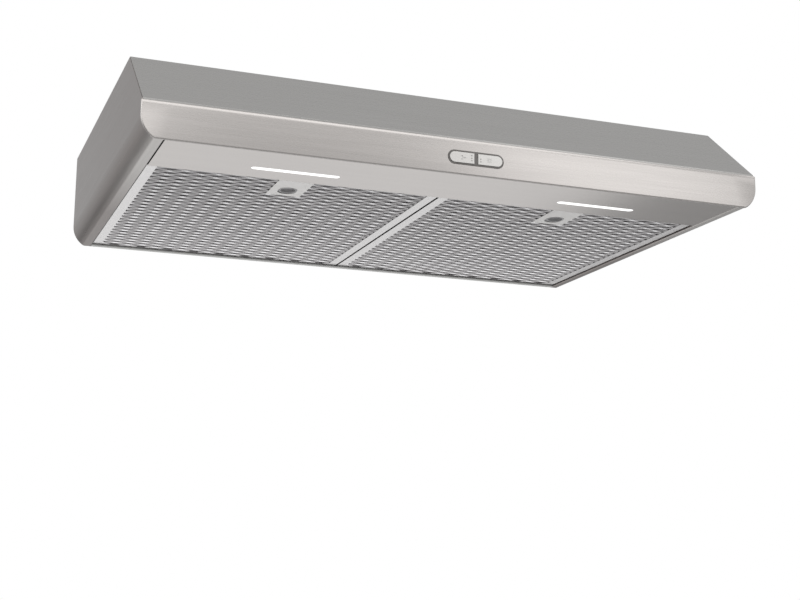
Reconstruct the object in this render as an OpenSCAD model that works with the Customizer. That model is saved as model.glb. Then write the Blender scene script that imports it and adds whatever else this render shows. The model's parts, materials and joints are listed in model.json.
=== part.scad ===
// Under cabinet range hood, in millimetres.
// +X is the viewer's right, the front is at -Y, +Z is up.
// The origin is the centre of the flat top face, on the plane of the cabinet.

/* [Canopy] */
// Width of the canopy
hood_w = 758.8; // [740:0.1:920]
// Overall depth from the fascia to the wall
hood_d = 508; // [480:0.5:560]
// Overall height of the canopy
hood_h = 124; // [122:0.5:160]
// Horizontal run of the sloped front
slope_run = 97; // [80:0.5:110]
// Height of the fascia
band_h = 41.4; // [40:0.1:46]
// Projection of the fascia in front of the sheet behind it
band_lip = 3; // [2.9:0.1:5]
// Outer radius of the bend along each lower side
bend_r = 30; // [28:0.5:34]
// Height above the lower edge at which that bend starts
bend_drop = 26; // [24:0.5:26.5]
// Radius between that bend and the flat flange under it
foot_r = 6; // [4:0.5:8]
// Distance of each turned-up hem from the hood's side
hem_in = 24; // [22:0.5:26]
// Outer radius at the foot of each hem
hem_r = 1.2; // [1:0.1:1.6]
// Overlap of the fascia past each side of the canopy
fascia_lap = 1.2; // [0.8:0.1:1.6]
// Height of the fascia's top above the line where the slope meets its front
lip_up = 1.1; // [0.5:0.1:1.8]
// Radius of the fascia's upper edge
lip_r = 2.9; // [1.5:0.1:2.9]
// Height of the canopy's flange behind the fascia
front_flange_h = 17; // [12:0.5:18]
// Inset of the top sheet's ends from the sides
edge_inset = 0.5; // [0.2:0.1:0.7]
// Width of the seams round the light panel
panel_seam = 1; // [0.4:0.1:1.2]
// Thickness of the canopy's sheet steel
sheet_t = 0.8; // [0.6:0.05:1.2]
// Width of the weld flanges inside the canopy
flange_w = 12; // [8:0.5:16]
// Height of the turned-up hems along the bottom
hem_h = 9; // [6:0.5:12]
// Depth of the strip along the wall under the filters' rear edges
rear_strip = 8; // [6:0.5:12]

/* [Cabinet fixing] */
// Screw spacing along the width
screw_span_x = 660; // [600:1:680]
// Screw spacing along the depth
screw_span_y = 340; // [300:1:350]
// Diameter of the fixing screw holes
screw_hole_d = 6.5; // [5:0.1:8]

/* [Duct] */
// Width of the duct opening
duct_w = 254; // [240:0.5:260]
// Depth of the duct opening
duct_d = 82.5; // [76:0.5:90]
// Gap from the wall to the duct opening
duct_setback = 22; // [18:0.5:26]
// Height of the duct collar above the top
collar_h = 34; // [28:0.5:50]
// Thickness of the collar's sheet
collar_t = 1; // [0.8:0.1:1.5]
// Height of the damper's pivot above the top
damper_z = 9; // [7:0.5:14]
// Diameter of the damper's rod
rod_d = 3; // [2.5:0.1:4]

/* [Blower] */
// Diameter of the fan wheel
wheel_d = 168; // [150:1:176]
// Height of the fan wheel's blades
wheel_h = 56; // [48:1:58]
// Radial depth of the blades
blade_depth = 15; // [12:0.5:18]
// Number of blades round the wheel
blade_count = 36; // [24:1:44]
// Thickness of each blade
blade_t = 1; // [0.8:0.1:1.4]
// Height of the scroll
scroll_h = 78; // [74:0.5:80]
// Clearance between the wheel and the scroll's cut-off
cutoff_gap = 8; // [6:0.5:12]
// Growth of the scroll's radius round the wheel
scroll_growth = 48; // [40:1:54]
// Thickness of the scroll's sheet
scroll_t = 1; // [0.8:0.1:1.4]
// Distance of the fan's axis left of the middle
fan_offset = 90; // [80:1:96]
// Distance of the fan's axis from the duct opening's front edge
fan_setback = 161; // [155:1:168]
// Diameter of the motor's case
motor_d = 80; // [70:1:84]
// Height of the motor's case
motor_h = 44; // [40:0.5:46]
// Diameter of the motor's shaft
shaft_d = 8; // [6:0.1:10]

/* [Filters] */
// Thickness of a filter cassette
filter_t = 9; // [7:0.5:11]
// Height of the filters above the canopy's lower edge
filter_recess = 2.3; // [2:0.1:5]
// Gap between the two filters
filter_gap = 3; // [1:0.1:4]
// Clearance between a filter and the sheet round it
filter_clear = 1.4; // [1:0.1:3]
// Width of the frame strips at the sides of a filter
strip_w = 12; // [10:0.5:16]
// Length of a mesh cell across the hood
cell_l = 37.2; // [30:0.1:44]
// Pitch of the mesh cells from front to rear
cell_w = 14.5; // [12:0.1:18]
// Width of the mesh strands
strand_w = 2.6; // [2:0.1:3.4]
// Thickness of the expanded sheet
mesh_t = 1.2; // [0.8:0.1:1.6]
// Width of the latch plate
latch_plate_w = 42; // [40:0.5:52]
// Depth of the latch plate
latch_plate_d = 69; // [68:0.5:78]
// Diameter of the latch's finger cup
cup_d = 22; // [18:0.5:23]
// Distance of the cup behind the filter's front edge
cup_setback = 45; // [40:0.5:45.5]
// Travel of the latch
latch_travel = 5; // [4:0.5:7]

/* [Lights] */
// Depth of the light panel from the fascia to the filters
panel_d = 100.3; // [98:0.1:112]
// Length of each light strip
lamp_l = 104.5; // [96:0.5:120]
// Width of each light strip
lamp_w = 9.3; // [8:0.1:12]
// Distance of each light from the middle of the hood
lamp_x = 191.5; // [170:0.5:210]
// Distance of each light behind the fascia
lamp_y = 65; // [50:0.5:67]

/* [Controls] */
// Width of the control window
pill_w = 69.2; // [64:0.1:80]
// Height of the control window
pill_h = 16.3; // [15:0.1:18]
// Distance of the controls right of the middle
pill_x = 2.7; // [0:0.1:8]
// Height of the controls above the lower edge
pill_up = 19.6; // [18.5:0.1:20.5]
// Width of the dark line round the buttons
ring_w = 1.7; // [1.4:0.1:2.4]
// Width of the bar between the buttons
bar_w = 4.4; // [4:0.1:7]
// Travel of the buttons
button_travel = 1; // [0.6:0.1:1.2]

/* [Wiring] */
// Diameter of the supply knock-out
knockout_d = 22.2; // [20:0.1:28]
// Width of the wiring box
wiring_w = 96; // [80:1:106]
// Depth of the wiring box
wiring_d = 70; // [60:1:80]
// Height of the wiring box
wiring_h = 52; // [46:1:58]
// Distance of the wiring box from the hood's side
wiring_in = 70; // [66:1:76]
// Length of the light driver
driver_l = 96; // [80:1:110]
// Width of the light driver
driver_w = 40; // [34:1:44]
// Height of the light driver
driver_h = 24; // [20:1:30]
// Distance of the light driver right of the middle
driver_x = 150; // [130:1:160]
// Diameter of the motor's capacitor
cap_d = 34; // [28:1:38]
// Height of the motor's capacitor
cap_h = 46; // [38:1:54]
// Gap between the scroll and the capacitor
cap_gap = 22; // [12:1:30]
// Diameter of the internal leads
lead_d = 5; // [4:0.1:6]

/* [Hidden] */

$fn = 64;
eps = 0.01;
// Clearances
seat_gap = 0.3;
run_gap = 0.05;
screw_gap = 0.1;
slide_gap = 0.25;

// Canopy planes
top_d = hood_d - slope_run;
rear_y = top_d / 2;
front_y = rear_y - hood_d;
sheet_y = front_y + band_lip;
base_z = -hood_h;
band_top_z = base_z + band_h;
fascia_top_z = band_top_z + lip_up;
half_w = hood_w / 2;
hem_x = half_w - hem_in;
bend_x = half_w - bend_r;
bend_z = base_z + bend_drop;
foot_x = bend_x + sqrt(pow(bend_r - foot_r, 2) - pow(bend_drop - foot_r, 2));
slope_a = atan2(hood_h - band_h, slope_run);
under_top = -sheet_t;
// How far the bend curves inward at the lower edge of the flange behind the fascia
bend_dev = bend_r - sqrt(pow(bend_r, 2) - pow(front_flange_h - band_h + bend_drop, 2));
panel_y = front_y + panel_d;
panel_x = hem_x - sheet_t;
rear_in = rear_y - sheet_t;

// Screws
fix_d = 4.2;
fix_head_d = 8;
fix_head_h = 2.6;
fascia_screw_end = half_w - 49.4;
fascia_screw_mid = 150;
control_screw_x = pill_w / 2 + 9;

// Duct and damper
duct_y = rear_y - duct_setback - duct_d / 2;
collar_clear = 1;
collar_w = duct_w - 2 * collar_clear;
collar_d = duct_d - 2 * collar_clear;
collar_flange = 14;
collar_screw_x = collar_w / 2 - 24;
collar_screw_y = collar_d / 2 + collar_flange / 2;
rod_y = duct_y + collar_d / 2 - collar_t - 5;
rear_duct_h = duct_d - 10;
slit_w = 2;
bridge_w = 9;
flap_t = 0.8;
flap_barrel_d = rod_d + 2;
flap_w = collar_w - 2 * collar_t - 2;
flap_reach = rod_y - (duct_y - collar_d / 2 + collar_t) - 1.5;

// Blower
fan_x = -fan_offset;
fan_y = duct_y + duct_d / 2 - duct_d - fan_setback;
scroll_top = under_top - scroll_t;
scroll_low = under_top - scroll_h;
scroll_r0 = wheel_d / 2 + cutoff_gap;
cutoff_a = 65;
exit_y = duct_y - duct_d / 2 - 12;
wheel_low = scroll_low + 4;
wheel_top = wheel_low + wheel_h;
eye_r = wheel_d / 2 - blade_depth - 3;
bell_r = 8;
motor_low = scroll_top - motor_h;
dish_z = motor_low - 5;
hub_d = 22;
hub_h = 13;
ear_r = 8;
ear_angles = [100, 190, 300];
box_x = duct_w / 2 + 6;
box_flange = 12;

// Filters
filter_x0 = filter_gap / 2;
filter_x1 = hem_x - sheet_t - filter_clear;
filter_y0 = panel_y + seat_gap;
filter_y1 = rear_y - rear_strip - 1;
filter_z0 = base_z + filter_recess;
filter_w = filter_x1 - filter_x0;
filter_l = filter_y1 - filter_y0;
filter_cx = (filter_x0 + filter_x1) / 2;
frame_t = 0.8;
tongue_w = 26;
tongue_reach = 5;
cup_y = filter_y0 + cup_setback;
latch_flange = 5.5;
latch_open_w = cup_d + 2 * latch_flange + 4;
bolt_w = 12;
bolt_t = 2;
bolt_z = filter_z0 + filter_t / 2;
latch_low = filter_z0 + frame_t + slide_gap;
latch_open_y0 = filter_y0 + 4;
latch_open_y1 = filter_y0 + latch_plate_d - 1.5;
frame_rim = 1.4;
panel_hem = filter_recess + filter_t + 5;

// Controls
pill_z = base_z + pill_up;
bezel_proud = 0.4;
bezel_back = sheet_y - 1;
bezel_rim = 1.5;
button_proud = 1;
button_flange = 0.9;
button_back = bezel_back + button_flange + run_gap;
switch_y = button_back + button_travel + seat_gap;
board_y = switch_y + 3.6;
housing_wall = 1.5;
housing_x = pill_w / 2 + 4;
housing_z = pill_h / 2 + 3.2;
housing_back = board_y + 1.6 + 5;

// Lights
lens_gap = 0.2;
lens_rim = 2.2;
module_h = 9;

// Wiring
wire_x1 = half_w - wiring_in;
wire_x0 = wire_x1 - wiring_w;
wire_y0 = rear_in - wiring_d;
wire_low = under_top - wiring_h;
wire_mid_y = wire_y0 + wiring_d / 2;
knock_x = (wire_x0 + wire_x1) / 2;
knock_z = under_top - wiring_h / 2;
cover_screw_in = 8;
cover_lip = 8;
driver_y = -rear_y + 30;
driver_ear = 10;
driver_ear_w = 16;
driver_ear_t = 2;
lead_r = lead_d / 2;
lead_z = under_top - 4 - lead_r;
lead_exit_z = under_top - 14;
lead_sides = 8;
lead_turn = 9;

// Offset of the folded sheet by s below its outer face, from the wall to the front
function fold_line(s, z_end) = [
  [rear_y, -s],
  [-rear_y + s * tan(slope_a / 2), -s],
  [sheet_y + s, -s - (-rear_y + s * tan(slope_a / 2) - sheet_y - s) * tan(slope_a)],
  [sheet_y + s, z_end]
];
function reversed(list) = [for (i = [len(list) - 1:-1:0]) list[i]];
// Radius of the scroll's wall at an angle round the fan
function scroll_radius(a, s) =
  scroll_r0 + scroll_growth * (a - cutoff_a) / (360 - cutoff_a) - s;
function scroll_outline(s) = concat(
  [[fan_x + scroll_radius(cutoff_a, 0) * cos(cutoff_a) + s, exit_y]],
  [for (a = [cutoff_a:5:360]) [
    fan_x + scroll_radius(a, s) * cos(a),
    fan_y + scroll_radius(a, s) * sin(a)
  ]],
  [[fan_x + scroll_radius(360, s), exit_y]]
);

function unit(v) = v / norm(v);
// Route with each corner replaced by a short curve
function rounded_route(p) = concat(
  [p[0]],
  [for (i = [1:len(p) - 2], u = [0:0.25:1])
    let (a = p[i] + lead_turn * unit(p[i - 1] - p[i]), b = p[i] + lead_turn * unit(p[i + 1] - p[i]))
      a * (1 - u) * (1 - u) + p[i] * 2 * u * (1 - u) + b * u * u],
  [p[len(p) - 1]]
);
// Direction of the route at its point i
function heading(p, i) = unit(
  i == 0 ? p[1] - p[0]
  : i == len(p) - 1 ? p[i] - p[i - 1]
  : unit(p[i + 1] - p[i]) + unit(p[i] - p[i - 1])
);

// Extrudes a Y-Z outline along X between two planes
module along_x(x0, x1) {
  translate([x0, 0, 0])
    rotate([90, 0, 90])
      linear_extrude(x1 - x0)
        children();
}

// Extrudes an X-Z outline along Y between two planes
module along_y(y0, y1) {
  translate([0, y1, 0])
    rotate([90, 0, 0])
      linear_extrude(y1 - y0)
        children();
}

module block(low, high) {
  translate(low)
    cube(high - low);
}

module stadium(length, width) {
  square([length - width, width], center = true);
  for (side = [-1, 1])
    translate([side * (length - width) / 2, 0])
      circle(d = width);
}

module rounded_rectangle(w, h, r) {
  square([w, h - 2 * r], center = true);
  square([w - 2 * r, h], center = true);
  for (x = [-1, 1], y = [-1, 1])
    translate([x * (w / 2 - r), y * (h / 2 - r)])
      circle(r);
}

module on_right(side) {
  if (side > 0)
    children();
  else
    mirror([1, 0, 0])
      children();
}

// Cross-section of the hood's lower half, inset by s, up to a height z_top
module hood_section(s, z_top) {
  translate([-half_w + s, bend_z])
    square([hood_w - 2 * s, z_top - bend_z]);
  translate([-foot_x, base_z + s])
    square([2 * foot_x, bend_drop - s]);
  for (side = [-1, 1]) {
    translate([side * foot_x, base_z + foot_r])
      circle(foot_r - s);
    translate([side * bend_x, bend_z])
      intersection() {
        circle(bend_r - s);
        polygon([
          [0, 0], [0, eps], [side * 2 * bend_r, eps],
          [side * 4 * (foot_x - bend_x), 4 * (foot_r - bend_drop)]
        ]);
      }
  }
}

module pan_screw(length) {
  translate([0, 0, -fix_head_h])
    cylinder(d = fix_head_d, h = fix_head_h);
  translate([0, 0, -eps])
    cylinder(d = fix_d - 2 * screw_gap, h = length + eps);
}

// Slit round an electrical knock-out that is still closed
module knockout_slit() {
  difference() {
    circle(d = knockout_d);
    circle(d = knockout_d - 1.6);
    square([knockout_d + 1, 3], center = true);
  }
}

// Round lead swept along a route
module lead(points) {
  p = rounded_route(points);
  n = lead_sides;
  rings = [for (i = [0:len(p) - 1])
    let (t = heading(p, i), across = unit(cross(t, [0.21, 0.34, 0.91])), up = cross(across, t))
      for (k = [0:n - 1]) p[i] + lead_r * (cos(360 * k / n) * across + sin(360 * k / n) * up)];
  polyhedron(
    points = rings,
    faces = concat(
      [[for (k = [0:n - 1]) k]],
      [[for (k = [n - 1:-1:0]) (len(p) - 1) * n + k]],
      [for (i = [0:len(p) - 2], k = [0:n - 1])
        [i * n + k, (i + 1) * n + k, (i + 1) * n + (k + 1) % n, i * n + (k + 1) % n]]
    )
  );
}

module folded_sheet(x0, x1, s, z_end) {
  along_x(x0, x1)
    polygon(concat(fold_line(s, z_end), reversed(fold_line(s + sheet_t, z_end))));
}

module at_cabinet_screws() {
  for (x = [-1, 1], y = [-1, 1])
    translate([x * screw_span_x / 2, y * screw_span_y / 2, 0])
      children();
}

module at_ears() {
  for (a = ear_angles) {
    r = scroll_radius(a, 0) + ear_r - 2;
    translate([fan_x + r * cos(a), fan_y + r * sin(a), 0])
      children();
  }
}

module at_box_screws() {
  for (x = [-1, 1], y = [0.25, 0.75])
    translate([x * (box_x + box_flange / 2), exit_y + y * (rear_in - exit_y), 0])
      children();
}

// The fascia's screws, each pointing to the front
module at_fascia_screws() {
  for (side = [-1, 1], x = [fascia_screw_mid, fascia_screw_end])
    translate([side * x, sheet_y + sheet_t, band_top_z - front_flange_h / 2])
      rotate([90, 0, 0])
        children();
}

module at_collar_screws() {
  for (x = [-1, 1], y = [-1, 1])
    translate([x * collar_screw_x, duct_y + y * collar_screw_y, 0])
      children();
}

// Top and sloped front, folded from one sheet
module canopy_top() {
  color("darkgray")
    difference() {
      folded_sheet(-half_w + edge_inset, half_w - edge_inset, 0, band_top_z - front_flange_h);
      translate([0, duct_y, -sheet_t - 1])
        linear_extrude(sheet_t + 2)
          square([duct_w, duct_d], center = true);
      at_cabinet_screws()
        translate([0, 0, -sheet_t - 1])
          cylinder(d = screw_hole_d, h = sheet_t + 2);
      at_ears()
        translate([0, 0, -sheet_t - 1])
          cylinder(d = fix_d, h = sheet_t + 2);
      at_box_screws()
        translate([0, 0, -sheet_t - 1])
          cylinder(d = fix_d, h = sheet_t + 2);
      at_collar_screws()
        translate([0, 0, -sheet_t - 1])
          cylinder(d = fix_d, h = sheet_t + 2);
      translate([knock_x, wire_mid_y, -sheet_t - 1])
        linear_extrude(sheet_t + 2)
          knockout_slit();
      at_fascia_screws()
        translate([0, 0, -1 - sheet_t])
          cylinder(d = fix_d, h = sheet_t + 2);
      // Room for the front edges of the side panels
      for (side = [-1, 1])
        on_right(side)
          block(
            [half_w - sheet_t - bend_dev, sheet_y - 1, base_z],
            [half_w + 1, sheet_y + sheet_t, fold_line(sheet_t, base_z)[2][1]]
          );
      // Clearance round the control housing
      block(
        [pill_x - housing_x - 1, sheet_y - 1, band_top_z - front_flange_h - 1],
        [pill_x + housing_x + 1, sheet_y + sheet_t + 1, pill_z + housing_z + 1]
      );
    }
}

// Leg of a turned-up hem with the bend at its foot, up to a height
module hem_outline(height) {
  translate([0, hem_r])
    square([sheet_t, height - hem_r]);
  translate([hem_r, hem_r])
    difference() {
      circle(hem_r);
      circle(hem_r - sheet_t);
      translate([eps, -2 * hem_r])
        square(4 * hem_r);
      translate([-2 * hem_r, eps])
        square(4 * hem_r);
    }
}

module side_sheet() {
  // Wall, bend and turned-up hem
  intersection() {
    along_y(sheet_y, rear_in)
      union() {
        difference() {
          hood_section(0, 0);
          hood_section(sheet_t, 1);
          translate([-half_w - 1, base_z - 1])
            square([half_w + panel_x + hem_r + 1, hood_h + 2]);
        }
        translate([panel_x, base_z])
          hem_outline(hem_h);
      }
    along_x(hem_x - 1 - sheet_t, half_w + 1)
      polygon(concat(
        [[rear_y, base_z]],
        [for (i = [0:2]) fold_line(sheet_t, base_z)[i]],
        [[sheet_y, fold_line(sheet_t, base_z)[2][1]], [sheet_y, base_z]]
      ));
  }
  // Weld flange under the top and the slope
  intersection() {
    folded_sheet(half_w - flange_w, half_w - sheet_t, sheet_t, band_top_z);
    block([0, sheet_y + 2 * sheet_t, band_top_z], [half_w, rear_in, 0]);
  }
}

module right_side_panel() {
  color("dimgray")
    side_sheet();
}

module left_side_panel() {
  color("dimgray")
    mirror([1, 0, 0])
      side_sheet();
}

// Wall side, with the duct knock-out, flanges and the strip behind the filters
module back_panel() {
  color("gray")
    difference() {
      union() {
        along_y(rear_in, rear_y)
          hood_section(0, under_top);
        for (side = [-1, 1])
          on_right(side)
            block(
              [half_w - 2 * sheet_t, rear_in - flange_w, bend_z],
              [half_w - sheet_t, rear_in + eps, under_top - 2 * sheet_t]
            );
        // Strip behind the filters, with its lip
        along_x(-panel_x, panel_x) {
          translate([rear_y - rear_strip + hem_r, base_z])
            square([rear_strip - hem_r, sheet_t]);
          translate([rear_y - rear_strip, base_z])
            hem_outline(filter_recess - seat_gap);
        }
      }
      // Slits round the rear duct knock-out, left joined by four bridges
      along_y(rear_in - 1, rear_y + 1)
        translate([0, under_top - duct_d / 2])
          difference() {
            square([duct_w, rear_duct_h], center = true);
            square([duct_w - 2 * slit_w, rear_duct_h - 2 * slit_w], center = true);
            square([duct_w + 1, bridge_w], center = true);
            square([2 * bridge_w, duct_d + 1], center = true);
          }
      translate([knock_x, rear_in - 1, knock_z])
        rotate([-90, 0, 0])
          cylinder(d = knockout_d, h = sheet_t + 2);
    }
}

// Block a little wider than the canopy, inset by s, with the fascia's rounded upper edge
module fascia_form(s) {
  round_z = fascia_top_z - lip_r;
  intersection() {
    along_y(front_y + s, sheet_y + s)
      for (x = [-fascia_lap, fascia_lap])
        translate([x, 0])
          hood_section(s, fascia_top_z - s);
    along_x(-half_w - 2 * fascia_lap, half_w + 2 * fascia_lap) {
      translate([front_y, base_z - 1])
        square([2 * band_lip, round_z - base_z + 1]);
      translate([front_y + lip_r, round_z - eps])
        square([2 * band_lip, lip_r + 1]);
      translate([front_y + lip_r, round_z])
        circle(lip_r - s);
    }
  }
}

// Brushed fascia: a shallow pan round the front of the canopy
module front_fascia() {
  color("silver")
    difference() {
      fascia_form(0);
      fascia_form(sheet_t);
      // Seam to the light panel
      block([-panel_x, sheet_y - panel_seam, base_z - 1], [panel_x, sheet_y + 1, base_z + 2 * sheet_t]);
      translate([pill_x, 0, pill_z])
        along_y(front_y - 1, sheet_y + 1)
          stadium(pill_w + 2 * slide_gap, pill_h + 2 * slide_gap);
    }
}

module light_panel() {
  color("gainsboro")
    difference() {
      union() {
        block(
          [-panel_x + panel_seam, sheet_y, base_z],
          [panel_x - panel_seam, panel_y, base_z + sheet_t]
        );
        block(
          [-panel_x, sheet_y, base_z + sheet_t],
          [panel_x, sheet_y + sheet_t, base_z + flange_w]
        );
        block(
          [-panel_x, panel_y - sheet_t, base_z + sheet_t],
          [panel_x, panel_y, base_z + panel_hem]
        );
      }
      for (side = [-1, 1]) {
        translate([side * lamp_x, front_y + lamp_y, base_z - 1])
          linear_extrude(sheet_t + 2)
            stadium(lamp_l, lamp_w);
        // Slot that the filter's latch bolt enters
        translate([side * filter_cx, panel_y, bolt_z])
          cube([bolt_w + 1, 4 * sheet_t, bolt_t + 0.6], center = true);
      }
      block(
        [pill_x - housing_x - 1, sheet_y - 1, pill_z - housing_z - 0.4],
        [pill_x + housing_x + 1, sheet_y + sheet_t + 1, base_z + flange_w + 1]
      );
    }
}

module lamp_lens(side) {
  color("white")
    translate([side * lamp_x, front_y + lamp_y, 0]) {
      translate([0, 0, base_z])
        linear_extrude(sheet_t + eps)
          stadium(lamp_l - 2 * lens_gap, lamp_w - 2 * lens_gap);
      translate([0, 0, base_z + sheet_t])
        linear_extrude(1.4)
          stadium(lamp_l + 2 * lens_rim, lamp_w + 2 * lens_rim);
    }
}

// Light strip's cover with the lit board inside, over the lens
module lamp_module(side) {
  rim = lens_rim + slide_gap;
  color("lightgray")
    translate([side * lamp_x, front_y + lamp_y, base_z + sheet_t])
      difference() {
        linear_extrude(module_h)
          stadium(lamp_l + 2 * rim + 4, lamp_w + 2 * rim + 4);
        translate([0, 0, -1])
          linear_extrude(1 + 1.4)
            stadium(lamp_l + 2 * rim, lamp_w + 2 * rim);
        translate([0, 0, -1])
          linear_extrude(module_h - 2)
            stadium(lamp_l - 4, lamp_w - 4);
        for (x = [-3:3])
          translate([x * lamp_l / 8, 0, module_h - 1.2])
            linear_extrude(2)
              stadium(lamp_l / 10, 3);
      }
}

module left_lamp_lens() {
  lamp_lens(-1);
}

module right_lamp_lens() {
  lamp_lens(1);
}

module left_lamp_module() {
  lamp_module(-1);
}

module right_lamp_module() {
  lamp_module(1);
}

// One half of the control window, inset by s, right of the bar
module button_outline(s) {
  intersection() {
    stadium(pill_w - 2 * ring_w - 2 * s, pill_h - 2 * ring_w - 2 * s);
    translate([bar_w / 2 + s, -pill_h])
      square([pill_w, 2 * pill_h]);
  }
}

module control_bezel() {
  color("dimgray")
    translate([pill_x, 0, pill_z])
      difference() {
        union() {
          along_y(front_y - bezel_proud, front_y + sheet_t + eps)
            stadium(pill_w, pill_h);
          along_y(front_y + sheet_t, bezel_back)
            stadium(pill_w + 2 * bezel_rim, pill_h + 2 * bezel_rim);
        }
        for (side = [-1, 1])
          on_right(side)
            along_y(front_y - 1, bezel_back + 1)
              button_outline(0);
      }
}

module push_button(side) {
  color("lightgray")
    translate([pill_x, 0, pill_z])
      on_right(side) {
        along_y(front_y - button_proud, button_back)
          button_outline(slide_gap);
        along_y(bezel_back + run_gap, button_back)
          intersection() {
            stadium(pill_w, pill_h);
            translate([bar_w / 2 - 0.9, -pill_h])
              square([pill_w, 2 * pill_h]);
          }
      }
}

module fan_button() {
  push_button(-1);
}

module light_button() {
  push_button(1);
}

// Box behind the fascia that carries the board
module control_housing() {
  color("black")
    translate([pill_x, 0, pill_z])
      difference() {
        union() {
          along_y(front_y + sheet_t, housing_back)
            rounded_rectangle(2 * housing_x, 2 * housing_z, 2);
          along_y(sheet_y + sheet_t + 0.6, sheet_y + sheet_t + 3)
            stadium(2 * control_screw_x + 12, 12);
        }
        along_y(front_y, board_y)
          rounded_rectangle(2 * (housing_x - housing_wall), 2 * (housing_z - housing_wall), 1);
        along_y(board_y - 1, housing_back - housing_wall)
          square([2 * (housing_x - 5), 2 * (housing_z - 4)], center = true);
        for (side = [-1, 1])
          translate([side * control_screw_x, sheet_y, 0])
            rotate([-90, 0, 0])
              cylinder(d = 3.2, h = 12);
        // Exit of the lead
        translate([0, housing_back, 0])
          rotate([90, 0, 0])
            cylinder(d = lead_d + 2 * screw_gap, h = 4, center = true);
      }
}

module control_board() {
  color("darkgreen")
    translate([pill_x, 0, pill_z]) {
      along_y(board_y - 1.6, board_y)
        square([2 * (housing_x - housing_wall) - 0.6, 2 * (housing_z - housing_wall) - 0.6], center = true);
      for (side = [-1, 1])
        translate([side * pill_w / 4, 0, 0]) {
          along_y(switch_y + 0.9, board_y - 1.6 + eps)
            square(6, center = true);
          translate([0, switch_y, 0])
            rotate([-90, 0, 0])
              cylinder(d = 3.4, h = 1);
        }
    }
}

// Cassette frame: two folded side strips and thin folded front and rear edges
module filter_frame(side) {
  color("silver")
    on_right(side) {
      difference() {
        block([filter_x0, filter_y0, filter_z0], [filter_x1, filter_y1, filter_z0 + filter_t]);
        block(
          [filter_x0 + frame_t, filter_y0 + frame_t, filter_z0 + frame_t],
          [filter_x1 - frame_t, filter_y1 - frame_t, filter_z0 + filter_t - frame_t]
        );
        block(
          [filter_x0 + strip_w, filter_y0 + frame_rim, filter_z0 - 1],
          [filter_x1 - strip_w, filter_y1 - frame_rim, filter_z0 + filter_t + 1]
        );
        // Slot for the latch bolt
        translate([filter_cx, filter_y0, bolt_z])
          cube([bolt_w + 1, 4, bolt_t + 0.6], center = true);
      }
      // Tongues that hook over the lip along the wall
      for (x = [filter_x0 + 60, filter_x1 - 60])
        block(
          [x - tongue_w / 2, filter_y1 - frame_t, filter_z0],
          [x + tongue_w / 2, filter_y1 + tongue_reach, filter_z0 + frame_t]
        );
    }
}

// Diamond holes in rows that are staggered by half a cell, over a filter's whole face
module mesh_holes() {
  columns = ceil(filter_w / cell_l);
  rows = ceil(filter_l / cell_w);
  half_l = (cell_l - 1.5 * strand_w) / 2;
  half_h = (cell_w - strand_w) / 2;
  for (i = [-columns:columns], j = [0:rows])
    translate([filter_cx + i * cell_l / 2, filter_y0 + (j + abs(i % 2) / 2) * cell_w])
      polygon([[-half_l, 0], [0, -half_h], [half_l, 0], [0, half_h]]);
}

// Expanded sheet, open between the side strips and round the latch plate
module filter_mesh(side) {
  inset = frame_t + slide_gap;
  rim = inset + 1;
  color("darkgray")
    on_right(side)
      translate([0, 0, filter_z0 + frame_t])
        linear_extrude(mesh_t)
          difference() {
            translate([filter_x0 + inset, filter_y0 + inset])
              square([filter_w - 2 * inset, filter_l - 2 * inset]);
            intersection() {
              mesh_holes();
              difference() {
                translate([filter_x0 + strip_w, filter_y0 + rim])
                  square([filter_w - 2 * strip_w, filter_l - 2 * rim]);
                translate([filter_cx - latch_plate_w / 2, filter_y0])
                  square([latch_plate_w, latch_plate_d]);
              }
            }
            // Opening over the latch
            translate([filter_cx - latch_open_w / 2, latch_open_y0])
              square([latch_open_w, latch_open_y1 - latch_open_y0]);
          }
}

// Pack of fine mesh layers inside the frame
module filter_pad(side) {
  z0 = filter_z0 + frame_t + mesh_t;
  z1 = filter_z0 + filter_t - frame_t - 0.2;
  color("gray")
    on_right(side)
      difference() {
        block(
          [filter_x0 + frame_t + slide_gap, filter_y0 + frame_t + slide_gap, z0],
          [filter_x1 - frame_t - slide_gap, filter_y1 - frame_t - slide_gap, z1]
        );
        block(
          [filter_cx - latch_open_w / 2, filter_y0 - 1, z0 - 1],
          [filter_cx + latch_open_w / 2, latch_open_y1, z1 + 1]
        );
      }
}

// Plate under the mesh that carries the latch
module latch_plate(side) {
  color("gainsboro")
    on_right(side)
      difference() {
        block(
          [filter_cx - latch_plate_w / 2, filter_y0 + 2 + slide_gap, filter_z0],
          [filter_cx + latch_plate_w / 2, filter_y0 + latch_plate_d, filter_z0 + frame_t]
        );
        translate([filter_cx, cup_y + latch_travel / 2, filter_z0 - 1])
          rotate([0, 0, 90])
            linear_extrude(frame_t + 2)
              stadium(cup_d + 0.6 + latch_travel, cup_d + 0.6);
      }
}

// Finger cup with the sprung bolt that enters the light panel
module filter_latch(side) {
  color("dimgray")
    on_right(side) {
      translate([filter_cx, cup_y, 0])
        difference() {
          union() {
            translate([0, 0, filter_z0 - 0.3])
              cylinder(d = cup_d, h = frame_t + 0.3 + slide_gap + eps);
            translate([0, 0, latch_low])
              cylinder(d = cup_d + 2 * latch_flange, h = bolt_z + bolt_t / 2 - latch_low);
          }
          translate([0, 0, filter_z0 - 1])
            cylinder(d = cup_d - 4, h = 4);
        }
      block(
        [filter_cx - bolt_w / 2, panel_y + seat_gap, bolt_z - bolt_t / 2],
        [filter_cx + bolt_w / 2, cup_y, bolt_z + bolt_t / 2]
      );
    }
}

module left_filter_frame() {
  filter_frame(-1);
}

module right_filter_frame() {
  filter_frame(1);
}

module left_filter_mesh() {
  filter_mesh(-1);
}

module right_filter_mesh() {
  filter_mesh(1);
}

module left_filter_pad() {
  filter_pad(-1);
}

module right_filter_pad() {
  filter_pad(1);
}

module left_latch_plate() {
  latch_plate(-1);
}

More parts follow.
